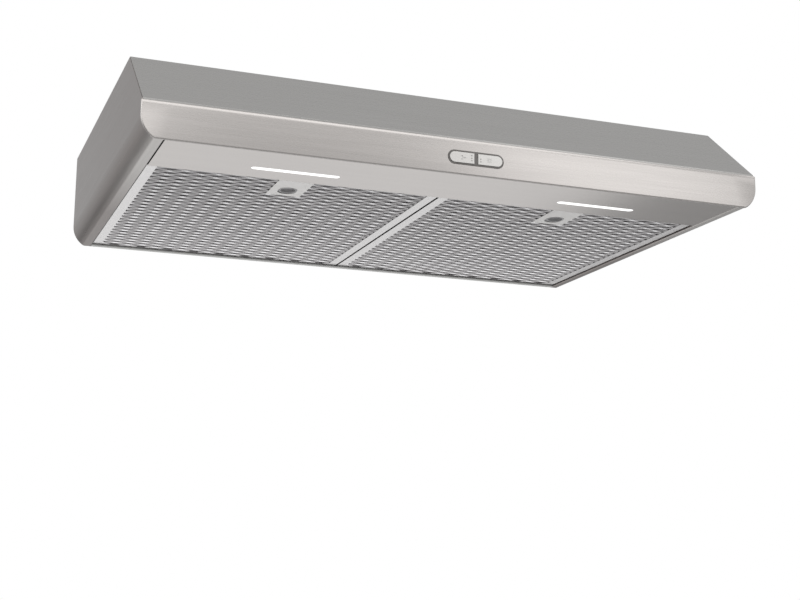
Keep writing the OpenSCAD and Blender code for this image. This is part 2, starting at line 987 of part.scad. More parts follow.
module right_latch_plate() {
  latch_plate(1);
}

module left_latch() {
  filter_latch(-1);
}

module right_latch() {
  filter_latch(1);
}

module scroll_plate(s) {
  polygon(scroll_outline(s));
}

// Scroll: top plate with fixing ears, and the wall wrapped round the wheel
module blower_housing() {
  color("lightsteelblue")
    difference() {
      union() {
        translate([0, 0, scroll_top])
          linear_extrude(scroll_t)
            scroll_plate(0);
        translate([0, 0, scroll_low])
          linear_extrude(scroll_h - scroll_t + eps)
            difference() {
              scroll_plate(0);
              scroll_plate(scroll_t);
              translate([fan_x, exit_y - scroll_t])
                square([fan_offset + wheel_d, 2 * scroll_t]);
            }
        at_ears()
          translate([0, 0, scroll_top])
            cylinder(r = ear_r, h = scroll_t);
      }
      at_ears()
        translate([0, 0, scroll_top - 1])
          cylinder(d = fix_d, h = scroll_t + 2);
    }
}

// Lower plate of the scroll, with the rolled inlet
module blower_inlet() {
  color("lightsteelblue")
    translate([0, 0, scroll_low - scroll_t]) {
      linear_extrude(scroll_t)
        difference() {
          scroll_plate(0);
          translate([fan_x, fan_y])
            circle(eye_r + bell_r);
        }
      // Rolled edge
      translate([fan_x, fan_y, 0])
        rotate_extrude()
          translate([eye_r + bell_r, bell_r])
            difference() {
              circle(bell_r);
              circle(bell_r - scroll_t);
              translate([eps, -bell_r - 1])
                square([bell_r + 1, 2 * bell_r + 2]);
              translate([-bell_r - 1, 0])
                square([bell_r + 2, bell_r + 1]);
            }
    }
}

// Forward-curved blade in plan, at angle 0
module blade() {
  r_out = wheel_d / 2;
  r_in = r_out - blade_depth;
  r_curve = blade_depth * 0.75;
  intersection() {
    difference() {
      circle(r_out - 0.3);
      circle(r_in);
    }
    translate([r_out - blade_depth / 2 - 1, r_curve * 0.72])
      difference() {
        circle(r_curve);
        circle(r_curve - blade_t);
        translate([-2 * r_curve, 0])
          square([4 * r_curve, 2 * r_curve]);
      }
  }
}

// Squirrel cage: dished back plate, ring and blades
module blower_wheel() {
  r_out = wheel_d / 2;
  r_in = r_out - blade_depth;
  dish_r = motor_d / 2 + 8;
  color("slategray")
    translate([fan_x, fan_y, 0]) {
      translate([0, 0, wheel_low])
        linear_extrude(wheel_h)
          for (i = [0:blade_count - 1])
            rotate([0, 0, i * 360 / blade_count])
              blade();
      translate([0, 0, wheel_low])
        linear_extrude(2)
          difference() {
            circle(r_out);
            circle(r_in);
          }
      // Back plate and dish round the motor
      rotate_extrude()
        polygon([
          [shaft_d / 2 + run_gap, dish_z - 1.5], [dish_r - 1, dish_z - 1.5],
          [r_in - 1, wheel_top - 2], [r_out, wheel_top - 2], [r_out, wheel_top],
          [r_in - 2, wheel_top], [dish_r - 2, dish_z], [shaft_d / 2 + run_gap, dish_z]
        ]);
      translate([0, 0, dish_z - 1.5 - hub_h])
        difference() {
          cylinder(d = hub_d, h = hub_h + 0.5);
          translate([0, 0, -1])
            cylinder(d = shaft_d + 2 * run_gap, h = hub_h + 3);
        }
    }
}

module motor_shaft() {
  color("silver")
    translate([fan_x, fan_y, dish_z - 1.5 - hub_h - 2])
      cylinder(d = shaft_d, h = motor_low + 26 - (dish_z - 1.5 - hub_h - 2));
}

// Motor case with its end bells and vents
module blower_motor() {
  r = motor_d / 2;
  color("dimgray")
    translate([fan_x, fan_y, 0])
      difference() {
        rotate_extrude()
          polygon([
            [0, scroll_top], [r - 8, scroll_top], [r - 8, scroll_top - 5], [r - 2, scroll_top - 5],
            [r, scroll_top - 8], [r, motor_low + 8], [r - 3, motor_low + 4], [14, motor_low + 4],
            [12, motor_low], [0, motor_low]
          ]);
        translate([0, 0, motor_low - 1])
          cylinder(d = shaft_d + 2 * run_gap, h = 28);
        for (a = [0:30:330])
          rotate([0, 0, a])
            translate([r - 12, 0, motor_low])
              cylinder(d = 6, h = 9);
      }
}

module motor_capacitor() {
  color("gray")
    translate([fan_x - scroll_radius(180, 0) - cap_gap - cap_d / 2, fan_y, under_top - cap_h]) {
      cylinder(d = cap_d, h = cap_h);
      // Terminals
      for (side = [-1, 1])
        translate([side * cap_d / 6, 0, -8])
          cube([2, 6, 16 + eps], center = true);
    }
}

// Box that turns the air up into the duct
module discharge_box() {
  exit_x0 = scroll_outline(scroll_t)[0][0];
  exit_x1 = fan_x + scroll_radius(360, scroll_t);
  low = scroll_low - scroll_t;
  color("lightsteelblue")
    difference() {
      union() {
        block([-box_x, exit_y, low], [box_x, rear_in, under_top]);
        block(
          [-box_x - box_flange, exit_y, under_top - scroll_t],
          [box_x + box_flange, rear_in, under_top]
        );
      }
      block(
        [-box_x + scroll_t, exit_y + scroll_t, low + scroll_t],
        [box_x - scroll_t, rear_in + 1, 1]
      );
      block([exit_x0, exit_y - 1, scroll_low], [exit_x1, exit_y + 2 * scroll_t, scroll_top]);
      at_box_screws()
        translate([0, 0, under_top - scroll_t - 1])
          cylinder(d = fix_d, h = scroll_t + 2);
    }
}

// Rectangular collar with its flange and the ledge that the damper rests on
module duct_collar() {
  inner_w = collar_w - 2 * collar_t;
  inner_d = collar_d - 2 * collar_t;
  ledge_z = damper_z - flap_t / 2 - seat_gap - collar_t;
  color("gainsboro")
    translate([0, duct_y, 0])
      difference() {
        union() {
          linear_extrude(collar_t)
            difference() {
              rounded_rectangle(collar_w + 2 * collar_flange, collar_d + 2 * collar_flange, 3);
              square([inner_w, inner_d], center = true);
            }
          linear_extrude(collar_h)
            difference() {
              square([collar_w, collar_d], center = true);
              square([inner_w, inner_d], center = true);
            }
          block(
            [-inner_w / 4, -inner_d / 2 - eps, ledge_z],
            [inner_w / 4, -inner_d / 2 + 4, ledge_z + collar_t]
          );
        }
        translate([-collar_w, rod_y - duct_y, damper_z])
          rotate([0, 90, 0])
            cylinder(d = rod_d + 2 * run_gap, h = 2 * collar_w);
        for (x = [-1, 1], y = [-1, 1])
          translate([x * collar_screw_x, y * collar_screw_y, -1])
            cylinder(d = fix_d, h = collar_t + 2);
      }
}

module damper_flap() {
  color("silver")
    difference() {
      union() {
        block(
          [-flap_w / 2, rod_y - flap_reach, damper_z - flap_t / 2],
          [flap_w / 2, rod_y, damper_z + flap_t / 2]
        );
        translate([-flap_w / 2, rod_y, damper_z])
          rotate([0, 90, 0])
            cylinder(d = flap_barrel_d, h = flap_w);
        // Stiffening bead
        block(
          [-flap_w / 2 + 20, rod_y - flap_reach * 0.6, damper_z + flap_t / 2 - eps],
          [flap_w / 2 - 20, rod_y - flap_reach * 0.6 + 3, damper_z + flap_t / 2 + 1.5]
        );
      }
      translate([-flap_w, rod_y, damper_z])
        rotate([0, 90, 0])
          cylinder(d = rod_d + 2 * run_gap, h = 2 * flap_w);
    }
}

module damper_rod() {
  color("gray")
    translate([-collar_w / 2 - 1, rod_y, damper_z])
      rotate([0, 90, 0])
        cylinder(d = rod_d, h = collar_w + 2);
}

// Three-sided wiring enclosure in the corner by the wall
module wiring_housing() {
  color("lightgray")
    difference() {
      union() {
        block([wire_x0, wire_y0, wire_low], [wire_x1, rear_in, under_top]);
        block(
          [wire_x0 - box_flange, wire_y0 + 8, under_top - scroll_t],
          [wire_x1 + box_flange, rear_in - flange_w - 1, under_top]
        );
      }
      difference() {
        block(
          [wire_x0 + scroll_t, wire_y0 + scroll_t, wire_low - 1],
          [wire_x1 - scroll_t, rear_in + 1, 1]
        );
        // Tab for the cover's screw
        block(
          [wire_x0, wire_mid_y - 8, wire_low],
          [wire_x0 + 2 * cover_screw_in, wire_mid_y + 8, wire_low + scroll_t]
        );
      }
      translate([wire_x0 + cover_screw_in, wire_mid_y, wire_low - 1])
        cylinder(d = fix_d, h = scroll_t + 2);
      translate([knock_x, wire_y0 - 1, under_top - 14])
        rotate([-90, 0, 0])
          cylinder(d = lead_d + 2 * screw_gap, h = 4);
      for (x = [wire_x0 - box_flange / 2, wire_x1 + box_flange / 2])
        translate([x, wire_mid_y, under_top - scroll_t - 1])
          cylinder(d = fix_d, h = scroll_t + 2);
    }
}

module wiring_cover() {
  color("silver")
    difference() {
      union() {
        block([wire_x0, wire_y0, wire_low - scroll_t], [wire_x1, rear_in, wire_low]);
        block(
          [wire_x0 + 2 * cover_screw_in + 1, wire_y0 + scroll_t + slide_gap, wire_low - eps],
          [wire_x1 - scroll_t - slide_gap, wire_y0 + 2 * scroll_t + slide_gap, wire_low + cover_lip]
        );
      }
      translate([wire_x0 + cover_screw_in, wire_mid_y, wire_low - scroll_t - 1])
        cylinder(d = fix_d, h = scroll_t + 2);
    }
}

module wiring_screws() {
  color("silver") {
    for (x = [wire_x0 - box_flange / 2, wire_x1 + box_flange / 2])
      translate([x, wire_mid_y, under_top - scroll_t])
        pan_screw(scroll_t);
    translate([wire_x0 + cover_screw_in, wire_mid_y, wire_low - scroll_t])
      pan_screw(2 * scroll_t + 3);
  }
}

module led_driver() {
  color("whitesmoke")
    translate([driver_x, driver_y, under_top - driver_h]) {
      cube([driver_l, driver_w, driver_h]);
      translate([-driver_ear, (driver_w - driver_ear_w) / 2, driver_h - driver_ear_t])
        cube([driver_l + 2 * driver_ear, driver_ear_w, driver_ear_t]);
    }
}

// From the wiring box to the driver
module supply_lead() {
  color("black")
    lead([
      [knock_x, wire_y0 + 8, lead_exit_z],
      [knock_x, wire_y0 - 14, lead_exit_z],
      [knock_x, wire_y0 - 36, lead_z],
      [knock_x, driver_y + driver_w + 40, lead_z],
      [driver_x + driver_l - 20, driver_y + driver_w + 26, lead_z],
      [driver_x + driver_l - 20, driver_y + driver_w, lead_z]
    ]);
}

// From the driver to the control board
module control_lead() {
  color("black")
    lead([
      [driver_x - 10, driver_y + 12, lead_z],
      [driver_x - 60, driver_y + 12, lead_z],
      [pill_x + 40, -rear_y - 40, lead_z - 50],
      [pill_x, sheet_y + 44, pill_z + 14],
      [pill_x, housing_back + 12, pill_z],
      [pill_x, housing_back - housing_wall, pill_z]
    ]);
}

// From the driver to the two light strips
module lamp_leads() {
  module_top = base_z + sheet_t + module_h;
  lamp_row_y = front_y + lamp_y;
  color("black") {
    lead([
      [driver_x + 60, driver_y, lead_exit_z],
      [driver_x + 60, driver_y - 14, lead_exit_z],
      [driver_x + 50, -rear_y - 14, lead_z - 36],
      [lamp_x, lamp_row_y + 16, module_top + 22],
      [lamp_x, lamp_row_y, module_top + 14],
      [lamp_x, lamp_row_y, module_top]
    ]);
    lead([
      [driver_x - 10, driver_y + 28, lead_z],
      [driver_x - 60, driver_y + 28, lead_z],
      [driver_x - 100, -rear_y + 5, lead_z],
      [-lamp_x + 30, -rear_y + 5, lead_z],
      [-lamp_x, -rear_y - 14, lead_z - 36],
      [-lamp_x, lamp_row_y + 16, module_top + 22],
      [-lamp_x, lamp_row_y, module_top + 14],
      [-lamp_x, lamp_row_y, module_top]
    ]);
  }
}

// Stick-on clips that hold the leads up under the top
module lead_clips() {
  color("white")
    for (p = [
      [knock_x, wire_y0 - 60, 90], [knock_x, 0, 90], [driver_x - 40, driver_y + 28, 0],
      [driver_x - 40, driver_y + 12, 0]
    ])
      translate([p[0], p[1], 0])
        rotate([0, 0, p[2]])
          difference() {
            block([-5, -lead_r - 2, lead_z - lead_r - 2], [5, lead_r + 2, under_top]);
            translate([-6, 0, lead_z])
              rotate([0, 90, 0])
                cylinder(r = lead_r + screw_gap, h = 12);
          }
}

module fascia_screws() {
  color("silver")
    at_fascia_screws()
      pan_screw(band_lip);
}

module control_screws() {
  color("silver")
    for (side = [-1, 1])
      translate([pill_x + side * control_screw_x, sheet_y + sheet_t + 3, pill_z])
        rotate([90, 0, 0]) {
          translate([0, 0, -2])
            cylinder(d = 5.5, h = 2);
          cylinder(d = 3, h = band_lip + 3);
        }
}

module blower_screws() {
  color("silver") {
    at_ears()
      translate([0, 0, scroll_top])
        pan_screw(scroll_t + sheet_t);
    at_box_screws()
      translate([0, 0, under_top - scroll_t])
        pan_screw(scroll_t + sheet_t);
  }
}

module collar_screws() {
  color("silver")
    at_collar_screws()
      translate([0, 0, collar_t])
        rotate([180, 0, 0])
          pan_screw(collar_t + sheet_t + 4);
}

canopy_top();
left_side_panel();
right_side_panel();
back_panel();
front_fascia();
light_panel();
left_lamp_lens();
right_lamp_lens();
left_lamp_module();
right_lamp_module();
control_bezel();
fan_button();
light_button();
control_housing();
control_board();
left_filter_frame();
left_filter_mesh();
left_filter_pad();
left_latch_plate();
left_latch();
right_filter_frame();
right_filter_mesh();
right_filter_pad();
right_latch_plate();
right_latch();
blower_housing();
blower_inlet();
blower_wheel();
blower_motor();
motor_shaft();
motor_capacitor();
discharge_box();
duct_collar();
damper_flap();
damper_rod();
wiring_housing();
wiring_cover();
led_driver();
supply_lead();
control_lead();
lamp_leads();
lead_clips();
fascia_screws();
control_screws();
blower_screws();
collar_screws();
wiring_screws();
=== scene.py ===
"""Visual model of the under cabinet range hood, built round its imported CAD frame."""
import json
import math

import bmesh
import bpy
from mathutils import Matrix, Vector


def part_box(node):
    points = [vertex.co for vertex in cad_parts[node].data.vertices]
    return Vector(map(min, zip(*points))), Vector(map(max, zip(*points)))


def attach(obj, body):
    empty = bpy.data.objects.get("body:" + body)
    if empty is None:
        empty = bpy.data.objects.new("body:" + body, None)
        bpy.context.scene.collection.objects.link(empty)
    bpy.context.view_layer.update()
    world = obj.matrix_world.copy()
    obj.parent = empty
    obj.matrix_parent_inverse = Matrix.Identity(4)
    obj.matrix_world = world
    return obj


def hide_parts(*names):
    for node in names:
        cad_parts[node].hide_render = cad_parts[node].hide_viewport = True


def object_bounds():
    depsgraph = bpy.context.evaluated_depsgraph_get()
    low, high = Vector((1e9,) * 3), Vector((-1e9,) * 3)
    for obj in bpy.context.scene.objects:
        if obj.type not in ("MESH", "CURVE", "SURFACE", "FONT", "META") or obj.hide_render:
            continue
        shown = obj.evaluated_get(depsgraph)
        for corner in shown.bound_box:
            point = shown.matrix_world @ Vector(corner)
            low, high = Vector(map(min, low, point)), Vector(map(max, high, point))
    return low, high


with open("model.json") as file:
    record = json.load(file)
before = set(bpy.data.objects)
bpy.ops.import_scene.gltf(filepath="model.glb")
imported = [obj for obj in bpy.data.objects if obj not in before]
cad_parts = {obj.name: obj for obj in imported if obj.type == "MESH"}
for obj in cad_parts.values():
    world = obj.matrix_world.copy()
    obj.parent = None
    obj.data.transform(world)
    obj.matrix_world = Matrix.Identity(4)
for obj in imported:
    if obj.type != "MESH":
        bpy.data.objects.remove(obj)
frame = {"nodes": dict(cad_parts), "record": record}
NODES = frame["nodes"]
CAD_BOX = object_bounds()
MM = 0.001

# Places read from the frame
FRONT_LOW, FRONT_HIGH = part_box("front_fascia")
BEZEL_LOW, BEZEL_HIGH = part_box("control_bezel")
BEZEL_X, BEZEL_Z = (BEZEL_LOW[0] + BEZEL_HIGH[0]) / 2, (BEZEL_LOW[2] + BEZEL_HIGH[2]) / 2

# Colour sockets of a Mix node, which share their names with its number and vector sockets
MIX_A, MIX_B, MIX_RESULT = 6, 7, 2


# ---------------------------------------------------------------- node helpers
def new_material(name):
    material = bpy.data.materials.new(name)
    material.use_nodes = True
    return material


class Nodes:
    """Short calls for building the shader tree of a material or a world."""

    def __init__(self, owner, output="ShaderNodeOutputMaterial"):
        self.tree = owner.node_tree
        self.tree.nodes.clear()
        self.output = self.add(output)

    def add(self, kind, **settings):
        node = self.tree.nodes.new(kind)
        for key, value in settings.items():
            setattr(node, key, value)
        return node

    def link(self, source, target):
        self.tree.links.new(source, target)

    def surface(self, shader):
        self.link(shader.outputs[0], self.output.inputs["Surface"])

    def coordinates(self, scale=(1, 1, 1)):
        """Object coordinates in metres, times a scale for each axis."""
        place = self.add("ShaderNodeTexCoord")
        mapping = self.add("ShaderNodeMapping")
        mapping.inputs["Scale"].default_value = scale
        self.link(place.outputs["Object"], mapping.inputs["Vector"])
        return mapping.outputs["Vector"]

    def noise(self, scale=(1, 1, 1), size=1.0, detail=2.0, roughness=0.5):
        node = self.add("ShaderNodeTexNoise")
        node.inputs["Scale"].default_value = size
        node.inputs["Detail"].default_value = detail
        node.inputs["Roughness"].default_value = roughness
        self.link(self.coordinates(scale), node.inputs["Vector"])
        return node.outputs["Fac"]

    def remap(self, source, low, high, from_low=0.3, from_high=0.7):
        node = self.add("ShaderNodeMapRange")
        node.inputs["From Min"].default_value = from_low
        node.inputs["From Max"].default_value = from_high
        node.inputs["To Min"].default_value = low
        node.inputs["To Max"].default_value = high
        self.link(source, node.inputs["Value"])
        return node.outputs["Result"]

    def ramp(self, source, stops):
        node = self.add("ShaderNodeValToRGB")
        elements = node.color_ramp.elements
        while len(elements) < len(stops):
            elements.new(0.5)
        for element, (place, colour) in zip(elements, stops):
            element.position = place
            element.color = (*colour, 1)
        self.link(source, node.inputs["Fac"])
        return node.outputs["Color"]

    def mottle(self, source, colour, spread, low=0.3, high=0.7):
        """The colour, a share darker where the source is low and lighter where it is high."""
        return self.ramp(source, [(low, shade(colour, 1 - spread)), (high, shade(colour, 1 + spread))])

    def multiply(self, first, second):
        node = self.add("ShaderNodeMath", operation="MULTIPLY")
        self.link(first, node.inputs[0])
        self.link(second, node.inputs[1])
        return node.outputs[0]

    def mix_colours(self, first, second, factor=None, blend="MIX"):
        """Blends two colours, in full where no factor is given."""
        node = self.add("ShaderNodeMix", data_type="RGBA", blend_type=blend)
        if factor is None:
            node.inputs["Factor"].default_value = 1.0
        else:
            self.link(factor, node.inputs["Factor"])
        self.link(first, node.inputs[MIX_A])
        self.link(second, node.inputs[MIX_B])
        return node.outputs[MIX_RESULT]

    def mix_shaders(self, first, second, factor):
        node = self.add("ShaderNodeMixShader")
        self.link(factor, node.inputs["Fac"])
        self.link(first.outputs[0], node.inputs[1])
        self.link(second.outputs[0], node.inputs[2])
        return node

    def bump(self, height, strength, distance, normal=None):
        node = self.add("ShaderNodeBump")
        node.inputs["Strength"].default_value = strength
        node.inputs["Distance"].default_value = distance
        self.link(height, node.inputs["Height"])
        if normal is not None:
            self.link(normal, node.inputs["Normal"])
        return node.outputs["Normal"]

    def rounded_edges(self, radius):
        node = self.add("ShaderNodeBevel", samples=4)
        node.inputs["Radius"].default_value = radius
        return node.outputs["Normal"]

    def principled(self, **values):
        node = self.add("ShaderNodeBsdfPrincipled")
        for key, value in values.items():
            node.inputs[key.replace("_", " ")].default_value = value
        return node


def shade(colour, factor):
    return tuple(channel * factor for channel in colour)


# A side panel's lower flange, whose lighter tone is a painted reflection of the lit floor: the normals' Z
# on its flat and where the bend ends, the Y between which the painted reflection fades, and the share of
# it left at the rear
FLAT_Z, UPRIGHT_Z = -0.97, -0.5
FADE_START_Y, FADE_END_Y = -0.20, 0.02
REAR_SHARE = 0.15


def painted_reflection_mask(n):
    """Painted reflection: 1 on faces turned down near the front of the piece, less at the rear, and 0 on
    upright ones.
    """
    place = n.add("ShaderNodeTexCoord")
    normal = n.add("ShaderNodeSeparateXYZ")
    n.link(place.outputs["Normal"], normal.inputs[0])
    position = n.add("ShaderNodeSeparateXYZ")
    n.link(place.outputs["Object"], position.inputs[0])
    level = n.remap(normal.outputs["Z"], 1.0, 0.0, FLAT_Z, UPRIGHT_Z)
    painted_reflection_falloff = n.remap(position.outputs["Y"], 1.0, REAR_SHARE, FADE_START_Y, FADE_END_Y)
    return n.multiply(level, painted_reflection_falloff)


WHITE = (1, 1, 1)
# Noise scales of brushed steel, along and across its grain: fine streaks, then broad bands
GRAIN_SCALES = {
    "X": ((9.0, 700.0, 700.0), (3.0, 110.0, 110.0)),
    "Y": ((700.0, 9.0, 700.0), (110.0, 3.0, 110.0)),
}


def brushed_steel(name, colour, grain="X", roughness=0.3, streak=0.03, broad=0.015,
                  relief=0.03, under=None, edge=0.0004, glance=1.0):
    """Steel with streaks along the X or Y axis, and slightly rounded edges.

    Streak and broad are how much the fine streaks and the wide bands vary in tone, and under is the
    colour of faces turned down, a painted reflection of the lit floor that fades towards the rear.
    A glance under 1 dims what the steel shows when seen nearly edge on.
    """
    material = new_material(name)
    n = Nodes(material)
    fine_scale, broad_scale = GRAIN_SCALES[grain]
    streaks = n.noise(fine_scale, 1.0, 4.0, 0.65)
    bands = n.noise(broad_scale, 1.0, 2.0)
    shader = n.principled(Metallic=1.0, Anisotropic=0.6, Specular_Tint=(glance, glance, glance, 1))
    tone = n.mottle(streaks, colour, streak, 0.25, 0.75)
    # Painted reflection: faces turned down near the front take the lighter under colour, fading towards
    # the rear
    if under:
        painted_reflection_tone = n.mottle(streaks, under, streak, 0.25, 0.75)
        tone = n.mix_colours(tone, painted_reflection_tone, painted_reflection_mask(n))
    banded = n.mix_colours(tone, n.mottle(bands, WHITE, broad), blend="MULTIPLY")
    n.link(banded, shader.inputs["Base Color"])
    n.link(n.remap(streaks, roughness * 0.9, roughness * 1.1), shader.inputs["Roughness"])
    rounded = n.rounded_edges(edge)
    n.link(n.bump(streaks, relief, 0.0001, rounded), shader.inputs["Normal"])
    tangent = n.add("ShaderNodeTangent", direction_type="RADIAL", axis=grain)
    n.link(tangent.outputs["Tangent"], shader.inputs["Tangent"])
    n.surface(shader)
    return material


def sheet_metal(name, colour, roughness=0.35, metallic=1.0, mottle=0.06, size=90.0, edge=0.0004):
    """Plain sheet or foil: a soft mottle and slightly rounded edges."""
    material = new_material(name)
    n = Nodes(material)
    cloud = n.noise((1, 1, 1), size, 4.0, 0.6)
    shader = n.principled(Metallic=metallic)
    n.link(n.mottle(cloud, colour, mottle), shader.inputs["Base Color"])
    n.link(n.remap(cloud, roughness * 0.8, roughness * 1.2), shader.inputs["Roughness"])
    n.link(n.bump(cloud, 0.05, 0.0004, n.rounded_edges(edge)), shader.inputs["Normal"])
    n.surface(shader)
    return material


def moulded_plastic(name, colour, roughness=0.45, grain=1600.0, depth=0.12, edge=0.0003):
    """Moulded plastic with a fine spark-eroded grain."""
    material = new_material(name)
    n = Nodes(material)
    fine = n.noise((1, 1, 1), grain, 2.0)
    tint = n.noise((1, 1, 1), 40.0, 2.0)
    shader = n.principled(Metallic=0.0)
    n.link(n.mottle(tint, colour, 0.05), shader.inputs["Base Color"])
    n.link(n.remap(fine, roughness * 0.85, roughness * 1.15), shader.inputs["Roughness"])
    n.link(n.bump(fine, depth, 0.00006, n.rounded_edges(edge)), shader.inputs["Normal"])
    n.surface(shader)
    return material


def lit_lens(name, strength):
    """Opal diffuser, lit almost evenly."""
    material = new_material(name)
    n = Nodes(material)
    cloud = n.noise((1, 1, 1), 30.0, 1.0)
    shader = n.principled(Roughness=0.35, Emission_Strength=strength)
    n.link(n.ramp(cloud, [(0.3, (0.97, 0.97, 0.96)), (0.7, WHITE)]), shader.inputs["Base Color"])
    n.link(n.ramp(cloud, [(0.3, (0.98, 0.98, 0.97)), (0.7, WHITE)]), shader.inputs["Emission Color"])
    n.surface(shader)
    return material


# Vertex attribute: 1 where the strands of an expanded sheet meet, polished and painted brighter as a
# highlight, 0 where they are twisted most
BOND_POLISH_AND_HIGHLIGHT = "bond_polish_and_highlight"


def expanded_metal(name, bright, dull):
    """Slit foil: burnished where the strands meet, and painted brighter there as a highlight; duller
    where they twist.
    """
    material = new_material(name)
    n = Nodes(material)
    cloud = n.noise((1, 1, 1), 160.0, 3.0, 0.6)
    shader = n.principled(Metallic=1.0)
    polish_and_highlight = n.add("ShaderNodeAttribute", attribute_name=BOND_POLISH_AND_HIGHLIGHT).outputs["Fac"]
    twisted = n.mottle(cloud, dull, 0.12)
    polished_and_highlit = n.ramp(cloud, [(0.3, shade(bright, 0.94)), (0.7, shade(bright, 1.04))])
    n.link(n.mix_colours(twisted, polished_and_highlit, polish_and_highlight), shader.inputs["Base Color"])
    n.link(n.remap(polish_and_highlight, 0.42, 0.24, 0.0, 1.0), shader.inputs["Roughness"])
    n.link(n.bump(cloud, 0.08, 0.0002), shader.inputs["Normal"])
    n.surface(shader)
    return material


def mesh_pack(name, colour):
    """Fine layers of expanded foil, darkened as painted shade among the layers, with painted glints in a
    weave.
    """
    material = new_material(name)
    n = Nodes(material)
    wave = n.add("ShaderNodeTexWave", wave_type="BANDS", bands_direction="Y")
    wave.inputs["Scale"].default_value = 1.0
    wave.inputs["Distortion"].default_value = 3.0
    wave.inputs["Detail"].default_value = 2.0
    n.link(n.coordinates((60.0, 190.0, 60.0)), wave.inputs["Vector"])
    painted_glints = n.noise((120.0, 420.0, 120.0), 1.0, 3.0)
    shader = n.principled(Metallic=0.9, Roughness=0.5)
    weave_and_painted_glints = n.multiply(wave.outputs["Fac"], painted_glints)
    # Painted shade and painted glints: dark where the weave is low, bright spots where it is high
    n.link(n.ramp(weave_and_painted_glints, [(0.05, shade(colour, 0.55)), (0.5, shade(colour, 1.4))]),
           shader.inputs["Base Color"])
    n.link(n.bump(weave_and_painted_glints, 0.8, 0.001), shader.inputs["Normal"])
    n.surface(shader)
    return material


# ---------------------------------------------------------------- mesh helpers
def finish_mesh(name, bm, material, body, smooth_angle=35):
    """Turns the mesh into a piece that rides on a body, smooth over edges under the angle."""
    bmesh.ops.recalc_face_normals(bm, faces=bm.faces)
    mesh = bpy.data.meshes.new(name)
    bm.to_mesh(mesh)
    bm.free()
    mesh.materials.append(material)
    mesh.shade_smooth()
    mesh.set_sharp_from_angle(angle=math.radians(smooth_angle))
    piece = bpy.data.objects.new(name, mesh)
    bpy.context.collection.objects.link(piece)
    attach(piece, body)
    return piece


def loop_faces(bm, rings, closed=True):
    """Joins rings of vertices that have as many points each."""
    for a, b in zip(rings, rings[1:]):
        count = len(a)
        for i in range(count if closed else count - 1):
            j = (i + 1) % count
            bm.faces.new((a[i], a[j], b[j], b[i]))


def arc(cx, cz, radius, start, end, steps):
    """Points on an arc, in degrees."""
    angles = [math.radians(start + (end - start) * i / steps) for i in range(steps + 1)]
    return [(cx + radius * math.cos(a), cz + radius * math.sin(a)) for a in angles]


def stadium(cx, cz, length, width, steps):
    """Outline with two round ends, with the steps on each."""
    r = width / 2
    reach = length / 2 - r
    return arc(cx + reach, cz, r, -90, 90, steps) + arc(cx - reach, cz, r, 90, 270, steps)


# ---------------------------------------------------------------- materials
MATERIALS = {
    "canopy_steel": brushed_steel("canopy_steel", (0.305, 0.30, 0.293), "X", 0.28, 0.015, edge=0.0006,
                                  glance=0.75),
    # Side steel is a shaded copy of the canopy steel: its darker colour and dim glance are painted shade,
    # and its under colour is a painted reflection on the lower flange
    "side_steel": brushed_steel("side_steel", (0.28, 0.255, 0.246), "Y", 0.3, 0.012, 0.005, 0.01,
                                under=(0.56, 0.545, 0.53), glance=0.56),
    "back_steel": brushed_steel("back_steel", (0.46, 0.46, 0.45), "X", 0.4),
    "fascia_steel": brushed_steel("fascia_steel", (0.403, 0.383, 0.370), "X", 0.28, 0.03, 0.03,
                                  edge=0.0003),
    "panel_steel": brushed_steel("panel_steel", (0.51, 0.485, 0.47), "X", 0.10, 0.015, glance=0.8),
    "lens_plastic": lit_lens("lens_plastic", 0.8),
    "module_plastic": moulded_plastic("module_plastic", (0.75, 0.75, 0.75)),
    "bezel_plastic": moulded_plastic("bezel_plastic", (0.16, 0.148, 0.14), 0.35),
    "mark_ink": moulded_plastic("mark_ink", (0.09, 0.085, 0.08), 0.5),
    "faint_ink": moulded_plastic("faint_ink", (0.42, 0.41, 0.40), 0.5),
    "button_plastic": brushed_steel("button_plastic", (0.50, 0.49, 0.475), "X", 0.35, 0.04),
    "black_plastic": moulded_plastic("black_plastic", (0.03, 0.03, 0.03)),
    "circuit_board": moulded_plastic("circuit_board", (0.02, 0.16, 0.06), 0.3, 300.0),
    "filter_aluminium": sheet_metal("filter_aluminium", (0.60, 0.59, 0.59), 0.3),
    # The bright colour where the strands meet is partly polish and partly painted highlight
    "mesh_aluminium": expanded_metal("mesh_aluminium", (0.76, 0.75, 0.76), (0.66, 0.645, 0.65)),
    # The pad's dark colour is painted shade between the sheets
    "mesh_pad": mesh_pack("mesh_pad", (0.31, 0.30, 0.305)),
    "latch_plate_aluminium": sheet_metal("latch_plate_aluminium", (0.64, 0.63, 0.62), 0.45),
    "latch_plastic": moulded_plastic("latch_plastic", (0.34, 0.335, 0.34)),
    "galvanised_steel": sheet_metal("galvanised_steel", (0.45, 0.47, 0.48), 0.4, 1.0, 0.15, 60.0),
    "wheel_steel": sheet_metal("wheel_steel", (0.42, 0.43, 0.44), 0.35),
    "motor_paint": moulded_plastic("motor_paint", (0.05, 0.05, 0.055), 0.4),
    "bright_steel": sheet_metal("bright_steel", (0.62, 0.62, 0.62), 0.2),
    "capacitor_plastic": moulded_plastic("capacitor_plastic", (0.40, 0.40, 0.40)),
    "flap_aluminium": sheet_metal("flap_aluminium", (0.62, 0.62, 0.62), 0.3),
    "white_plastic": moulded_plastic("white_plastic", (0.78, 0.78, 0.76)),
    "lead_sheath": moulded_plastic("lead_sheath", (0.03, 0.03, 0.03), 0.5),
    "screw_steel": sheet_metal("screw_steel", (0.55, 0.55, 0.55), 0.3),
}


